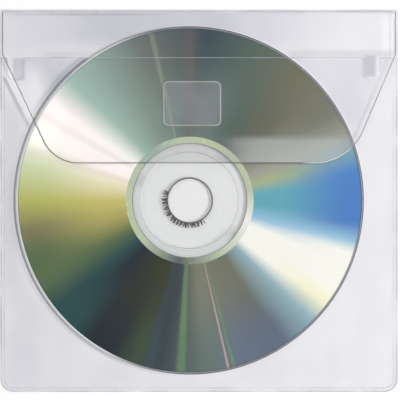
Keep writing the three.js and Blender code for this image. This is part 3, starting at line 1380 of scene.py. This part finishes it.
@dataclass
class DiscBody:
    """The disc: a turned section with a clear hub, moulded rings, metal layer and clear rim."""

    plan: SleevePlan
    hole: float = 7.5
    band_start: float = 19.85
    data_start: float = 22.0
    data_end: float = 59.25
    chamfer: float = 0.15
    groove_depth: float = 0.12
    ring_height: float = 0.2
    slope: float = 0.28
    steps: int = 192
    rim_line: float = 59.8
    hole_line: float = 8.0
    mould_line: Pair = (13.0, 13.4)
    stacking_ring: Pair = (16.5, 17.4)
    stamper_groove: Pair = (19.0, 19.8)
    wall_tilt: float = 0.95
    sharp_degrees: float = 25.0

    def section(self, base: float, top: float) -> list[Pair]:
        """Radius and height of each corner of the turned section, all the way round.

        Args:
            base: Height of the underside.
            top: Height of the flat upper face.

        Returns:
            The corners, from the hole's lower edge outwards and back over the top.
        """
        rim, cut = self.plan.disc_radius, self.chamfer
        low_lines = (self.hole + cut, self.data_start, self.data_end, rim - cut)
        lower = [(radius, base) for radius in low_lines]
        edge = [(rim, base + cut), (rim, top - cut), (rim - cut, top)]
        lines = (self.rim_line, self.data_end, self.data_start, self.band_start)
        flats = [(radius, top) for radius in lines]
        rings: list[Pair] = []
        for (inner, outer), rise in (
            (self.stamper_groove, -self.groove_depth),
            (self.stacking_ring, self.ring_height),
            (self.mould_line, -self.groove_depth),
        ):
            slope = min(self.slope, (outer - inner) / 4)
            rings += [(outer, top), (outer - slope, top + rise)]
            rings += [(inner + slope, top + rise), (inner, top)]
        mouth = [(self.hole_line, top), (self.hole + cut, top)]
        bore = [(self.hole, top - cut), (self.hole, base + cut)]
        return lower + edge + flats + rings + mouth + bore

    def face_slot(self, face: bmesh.types.BMFace, base: float) -> DiscFace:
        """Which finish a face of the disc takes.

        Args:
            face: The face, about the disc's own axis.
            base: Height of the underside.

        Returns:
            The slot.
        """
        centre = face.calc_center_median()
        radius = math.hypot(centre.x, centre.y)
        if radius > self.rim_line:
            return DiscFace.RIM_EDGE
        if radius > self.data_end:
            return DiscFace.CLEAR_RIM
        if radius > self.data_start:
            return DiscFace.LABEL_SIDE if centre.z < base + self.chamfer else DiscFace.DATA_LAYER
        if radius > self.band_start and centre.z > base + self.chamfer:
            return DiscFace.MIRROR_BAND
        # The hole's edge takes the ring edge's finish, a dark line of painted shade.
        if centre.z < base + self.chamfer or radius < self.hole_line:
            return DiscFace.RING_EDGE if radius < self.hole_line else DiscFace.CLEAR_HUB
        wall = abs(face.normal.z) < self.wall_tilt
        inner, outer = self.stacking_ring[0], self.stamper_groove[1] - self.slope
        # The stamper groove's outer wall takes the ring edge's painted shade.
        if wall and radius > outer:
            return DiscFace.RING_EDGE
        # The stacking ring's inner wall takes the clear rim's finish: a faint line of painted shade
        # with a painted highlight.
        if wall and inner < radius < inner + self.slope:
            return DiscFace.CLEAR_RIM
        return DiscFace.MOULDED_RING if inner < radius < outer else DiscFace.CLEAR_HUB

    def build(self, materials: Sequence[Material]) -> bpy.types.Object:
        """Turns the section about the disc's axis.

        Args:
            materials: One for each slot, in the order of DiscFace.

        Returns:
            The piece.
        """
        low, high = (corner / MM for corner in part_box("disc"))
        top = high.z - self.ring_height
        bm = bmesh.new()
        section = self.section(low.z, top)
        verts = [bm.verts.new((radius, 0.0, height)) for radius, height in section]
        edges = [bm.edges.new((a, b)) for a, b in zip(verts, verts[1:] + verts[:1])]
        bmesh.ops.spin(
            bm, geom=verts + edges, cent=(0, 0, 0), axis=(0, 0, 1), angle=math.tau,
            steps=self.steps, use_merge=True,
        )
        bmesh.ops.remove_doubles(bm, verts=bm.verts[:], dist=SAME_PLACE)
        bmesh.ops.recalc_face_normals(bm, faces=bm.faces[:])
        for face in bm.faces:
            face.material_index = self.face_slot(face, low.z).value
        bmesh.ops.translate(bm, vec=(self.plan.disc_x, self.plan.disc_y, 0.0), verts=bm.verts[:])
        return finish_piece("disc_body", bm, materials, "disc", self.sharp_degrees)


@dataclass
class HubMarks:
    """A row of plain printed bars round part of the hub, with gaps and a few odd bars.

    A rhythm is every so many bars, and the number that it starts from.
    """

    plan: SleevePlan
    level: float
    inner: float = 7.8
    outer: float = 9.55
    start: float = 159.0
    sweep: float = 145.0
    count: int = 64
    width: float = 0.28
    thickness: float = 0.02
    gaps: tuple[Pair, ...] = ((7, 6), (11, 4))
    short_bars: Pair = (3, 1)
    short_by: float = 0.7
    wide_bars: Pair = (4, 0)
    wider: float = 1.5

    def build(self, ink: Material) -> bpy.types.Object:
        """Shapes one bar and repeats it, with plain gaps between groups.

        Args:
            ink: Material of the print.

        Returns:
            The piece.
        """
        bm = bmesh.new()
        middle = Matrix.Translation((self.plan.disc_x, self.plan.disc_y, 0.0))
        for number in range(self.count):
            if any(number % every == start for every, start in self.gaps):
                continue
            is_short = number % self.short_bars[0] == self.short_bars[1]
            is_wide = number % self.wide_bars[0] == self.wide_bars[1]
            cut = self.outer - (self.short_by if is_short else 0.0)
            width = self.width * (self.wider if is_wide else 1.0)
            angle = math.radians(self.start + self.sweep * number / (self.count - 1))
            size = Vector((cut - self.inner, width, self.thickness))
            out = Matrix.Translation((self.inner + size.x / 2, 0.0, self.level))
            bar = middle @ Matrix.Rotation(angle, 4, "Z") @ out @ Matrix.Diagonal((*size, 1.0))
            bmesh.ops.create_cube(bm, size=1.0, matrix=bar)
        return finish_piece("hub_marks", bm, [ink], sharp_degrees=CRISP)


@dataclass(frozen=True)
class Lamp:
    """A soft square lamp that faces the sleeve, in metres and watts."""

    name: str
    place: tuple[float, float, float]
    size: float
    power: float

    def hang(self) -> None:
        """Adds the lamp to the scene."""
        data = bpy.data.lights.new(self.name, "AREA")
        data.size = self.size
        data.energy = self.power
        lamp = bpy.data.objects.new(self.name, data)
        lamp.location = self.place
        lamp.rotation_euler = Vector(self.place).to_track_quat("Z", "Y").to_euler()
        bpy.context.scene.collection.objects.link(lamp)


@dataclass
class Studio:
    """White sweep, soft lamps and the camera straight above."""

    view_width: float = 138.17
    aim: Pair = (0.33, 0.26)
    lens: float = 135.0
    sensor: float = 36.0
    floor_gap: float = 0.06
    floor_size: float = 2600.0
    floor_cells: int = 4
    ambient: float = 0.26
    film_depth: int = 32
    lamps: tuple[Lamp, ...] = (
        Lamp("key_lamp", (0.62, -0.1, 0.75), 0.26, 5.8),
        Lamp("fill_lamp", (-0.3, 0.5, 0.9), 0.8, 2.6),
    )

    def add_floor(self, material: Material) -> None:
        """Lays the floor just under the sleeve."""
        bm = bmesh.new()
        cells, half = self.floor_cells, self.floor_size * MM / 2
        bmesh.ops.create_grid(bm, x_segments=cells, y_segments=cells, size=half)
        bmesh.ops.translate(bm, vec=(0.0, 0.0, -self.floor_gap * MM), verts=bm.verts[:])
        mesh = bpy.data.meshes.new("floor")
        bm.to_mesh(mesh)
        bm.free()
        mesh.materials.append(material)
        floor = bpy.data.objects.new("floor", mesh)
        bpy.context.scene.collection.objects.link(floor)

    def add_world(self) -> None:
        """Gives a world that is white where it is seen and dimmer as ambient light."""
        world = bpy.data.worlds.new("studio")
        world.use_nodes = True
        tree = Tree(world.node_tree)
        strength = tree.ranged(tree.seen_straight(), 0.0, 1.0, self.ambient, 1.0)
        background = world.node_tree.nodes["Background"]
        tree.fill(background, {"Color": Tint.WHITE.linear, "Strength": strength})
        bpy.context.scene.world = world

    def add_camera(self) -> None:
        """Sets the camera straight above, framed as the photograph is."""
        data = bpy.data.cameras.new("camera")
        data.lens = self.lens
        data.sensor_width = self.sensor
        distance = self.view_width * MM * self.lens / self.sensor
        camera = bpy.data.objects.new("camera", data)
        camera.location = (self.aim[0] * MM, self.aim[1] * MM, distance)
        bpy.context.scene.collection.objects.link(camera)
        bpy.context.scene.camera = camera

    def build(self, floor: Material) -> None:
        """Sets the whole studio up.

        Args:
            floor: Material of the floor.
        """
        scene = bpy.context.scene
        scene.view_settings.view_transform = "Standard"
        scene.cycles.transparent_max_bounces = self.film_depth
        self.add_floor(floor)
        self.add_world()
        for lamp in self.lamps:
            lamp.hang()
        self.add_camera()


# Painted glare below the left notch, along the flap's left edge, made by clearing the haze.
LEFT_PAINTED_GLARE = PaintedLightAndHazeField(Tint.FILM_SHADE, -0.042, (-57, 2.5, 8), (35, 5, 12), lean=27)


def back_film(plan: SleevePlan) -> FilmFinish:
    """The back film's finish, with its painted shade and shadows, painted highlights and glare.

    Args:
        plan: The sleeve's plan.

    Returns:
        The finish.
    """
    fold, mouth = plan.fold, plan.mouth
    fields = (
        # Painted shade along the top, below the fold.
        PaintedLightAndHazeField(Tint.FILM_SHADE, 0.046, (-12, 14, 50), (fold - 4, 4, 9)),
        # A painted dark line of shade along the fold, on the flap.
        PaintedLightAndHazeField(Tint.PAINTED_SHADE, 0.08, (-40, 8, 30), (fold - 1.8, 0.1, 0.5), Layer.FLAP),
        # A painted highlight: a clearer patch at the right end of the fold.
        PaintedLightAndHazeField(Tint.LILAC_GREY, -0.01, (65.2, 1.0, 2.0), (57, 4, 4), Layer.BACK),
        PaintedLightAndHazeField(Tint.EDGE_DARK, 0.06, (67.4, 0.1, 0.3), (56.5, 6, 1), Layer.BACK),
        # Painted shade just above the front sheet's mouth, at the right and at the left.
        PaintedLightAndHazeField(Tint.PAINTED_SHADE, 0.04, (48, 14, 10), (mouth + 1.4, 0.4, 1.6), Layer.BACK),
        PaintedLightAndHazeField(Tint.PAINTED_SHADE, 0.03, (-42, 8, 8), (mouth + 1.2, 0.3, 1.2), Layer.BACK),
        # Painted shade in the right and left notches.
        PaintedLightAndHazeField(Tint.FILM_SHADE, 0.13, (59.0, 1.2, 1.8), (mouth - 3, 2.6, 2.0), Layer.BACK),
        PaintedLightAndHazeField(Tint.FILM_SHADE, 0.1, (-62.2, 1.4, 1.2), (mouth - 4, 3.2, 1.2), Layer.BACK),
        # Painted reflection: a milky stretch of the flap above its lower right edge.
        PaintedLightAndHazeField(Tint.EDGE_WHITE, 0.22, (32, 13, 16), (15.5, 4.5, 3.5), Layer.FLAP),
        LEFT_PAINTED_GLARE,
        # A painted highlight between the flap's left edge and its painted shadow.
        PaintedLightAndHazeField(Tint.FILM_SHADE, -0.024, (-61.2, 0.6, 0.7), (34, 8, 3), lean=27),
    )
    rings = (RingField(Tint.RING_GREEN, 0.043, (0, 19.4, 0.4), (0, 180, 1)),)
    return FilmFinish("back_film", fields, rings)


def front_film() -> FilmFinish:
    """The front film's finish, with painted shade round the disc's rim and a painted shadow by the
    flap's left edge.

    Returns:
        The finish.
    """
    fields = (
        # Painted shadow of the flap's left edge.
        PaintedLightAndHazeField(Tint.PAINTED_SHADE, 0.16, (-62.9, 0.2, 0.8), (34, 8, 3), lean=27),
        # A painted highlight between that edge and its shadow.
        PaintedLightAndHazeField(Tint.FILM_SHADE, -0.03, (-61.2, 0.6, 0.7), (34, 8, 3), lean=27),
        LEFT_PAINTED_GLARE,
    )
    rings = (
        # Painted shadow of the disc's rim on the film, strongest at the left.
        RingField(Tint.PAINTED_SHADE, 0.38, (60.4, 0.1, 0.4), (166, 34, 80)),
        # Softer painted shade outside the rim, towards the upper left.
        RingField(Tint.PAINTED_SHADE, 0.08, (61.2, 0.3, 1.8), (126, 14, 22)),
    )
    return FilmFinish("front_film", fields, rings)


def flap_edge() -> EdgeFinish:
    """The flap's dark cut edge, partly painted shade, with a painted highlight along a stretch at its
    right.
    """
    painted_light = PaintedLightAndHazeField(Tint.EDGE_WHITE, 0.3, (46, 6, 6), (15, 2, 3))
    return EdgeFinish("flap_edge", Tint.EDGE_DARK, Tint.PAINTED_SHADE, 0.72, 0.25, painted_light)


def disc_finishes() -> tuple[Finish, ...]:
    """The disc's finishes, in the order of DiscFace."""
    rim_painted_light = {"painted_light_angle": 178, "painted_light_reach": 60, "painted_light_alpha": 0.66}
    ring_painted_light = {"painted_light_angle": -120, "painted_light_reach": 70, "painted_light_alpha": 0.5}
    return (
        ClearPlasticFinish("clear_hub", 0.01, Tint.EDGE_WHITE),
        BandFinish(),
        DataLayerFinish(),
        # The clear rim: a dark line of painted shade, with a painted highlight towards the left.
        ClearPlasticFinish("clear_rim", 0.3, Tint.PAINTED_SHADE, **rim_painted_light),
        LabelSideFinish(),
        # The ring edge: dark lines of painted shade, darkest towards the lower left.
        ClearPlasticFinish("ring_edge", 0.85, Tint.RING_GREEN, Tint.EDGE_DARK),
        # The rim's outer edge: a dark line of painted shade, with a painted highlight towards the
        # lower left.
        ClearPlasticFinish("rim_edge", 0.8, Tint.PAINTED_SHADE),
        # The moulded ring: a painted highlight towards the lower left.
        ClearPlasticFinish("moulded_ring", 0.02, Tint.RING_GREEN, **ring_painted_light),
    )


def main() -> None:
    """Builds and dresses the sleeve, its disc and the studio."""
    logging.basicConfig(level=logging.INFO, format="%(name)s %(message)s")
    plan = SleevePlan.from_frame()
    axis = (plan.disc_x, plan.disc_y)
    groups = Groups(build_mottle_group(), build_polar_group(), build_scratch_group(), axis)

    cut_edge = EdgeFinish("cut_edge", Tint.FILM_GREY, Tint.EDGE_DARK, 0.16)
    # The fold is darkened with painted shade.
    fold_shade = EdgeFinish("fold_painted_shade", Tint.PAINTED_SHADE, Tint.LILAC_GREY, 0.14)
    sheet_finishes = (back_film(plan), cut_edge, flap_edge(), fold_shade)
    FoldedSheet(plan).build(*(finish.build(groups) for finish in sheet_finishes))

    front_sheet = FrontSheet(plan)
    # The mouth's cut edge is painted pale, as a painted highlight.
    mouth_edge = EdgeFinish("mouth_edge", Tint.EDGE_WHITE, Tint.LILAC_GREY, 0.3)
    front_sheet.build(front_film().build(groups), mouth_edge.build(groups))
    weld = EdgeFinish("weld_line", Tint.LILAC_GREY, Tint.FILM_SHADE, 0.05)
    front_sheet.build_bead(weld.build(groups))

    # The pad's cut edge is painted pale, as a painted highlight.
    pad_edge = EdgeFinish("pad_edge", Tint.EDGE_WHITE, Tint.BAND_GREEN, 0.5, 0.3)
    ClosurePad().build(PadFinish().build(groups), pad_edge.build(groups))

    disc = DiscBody(plan)
    disc.build([finish.build(groups) for finish in disc_finishes()])
    disc_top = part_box("disc")[1].z / MM - disc.ring_height
    HubMarks(plan, disc_top + HubMarks.thickness).build(InkFinish().build(groups))
    Studio().build(FloorFinish().build(groups))


if __name__ == "__main__":
    main()
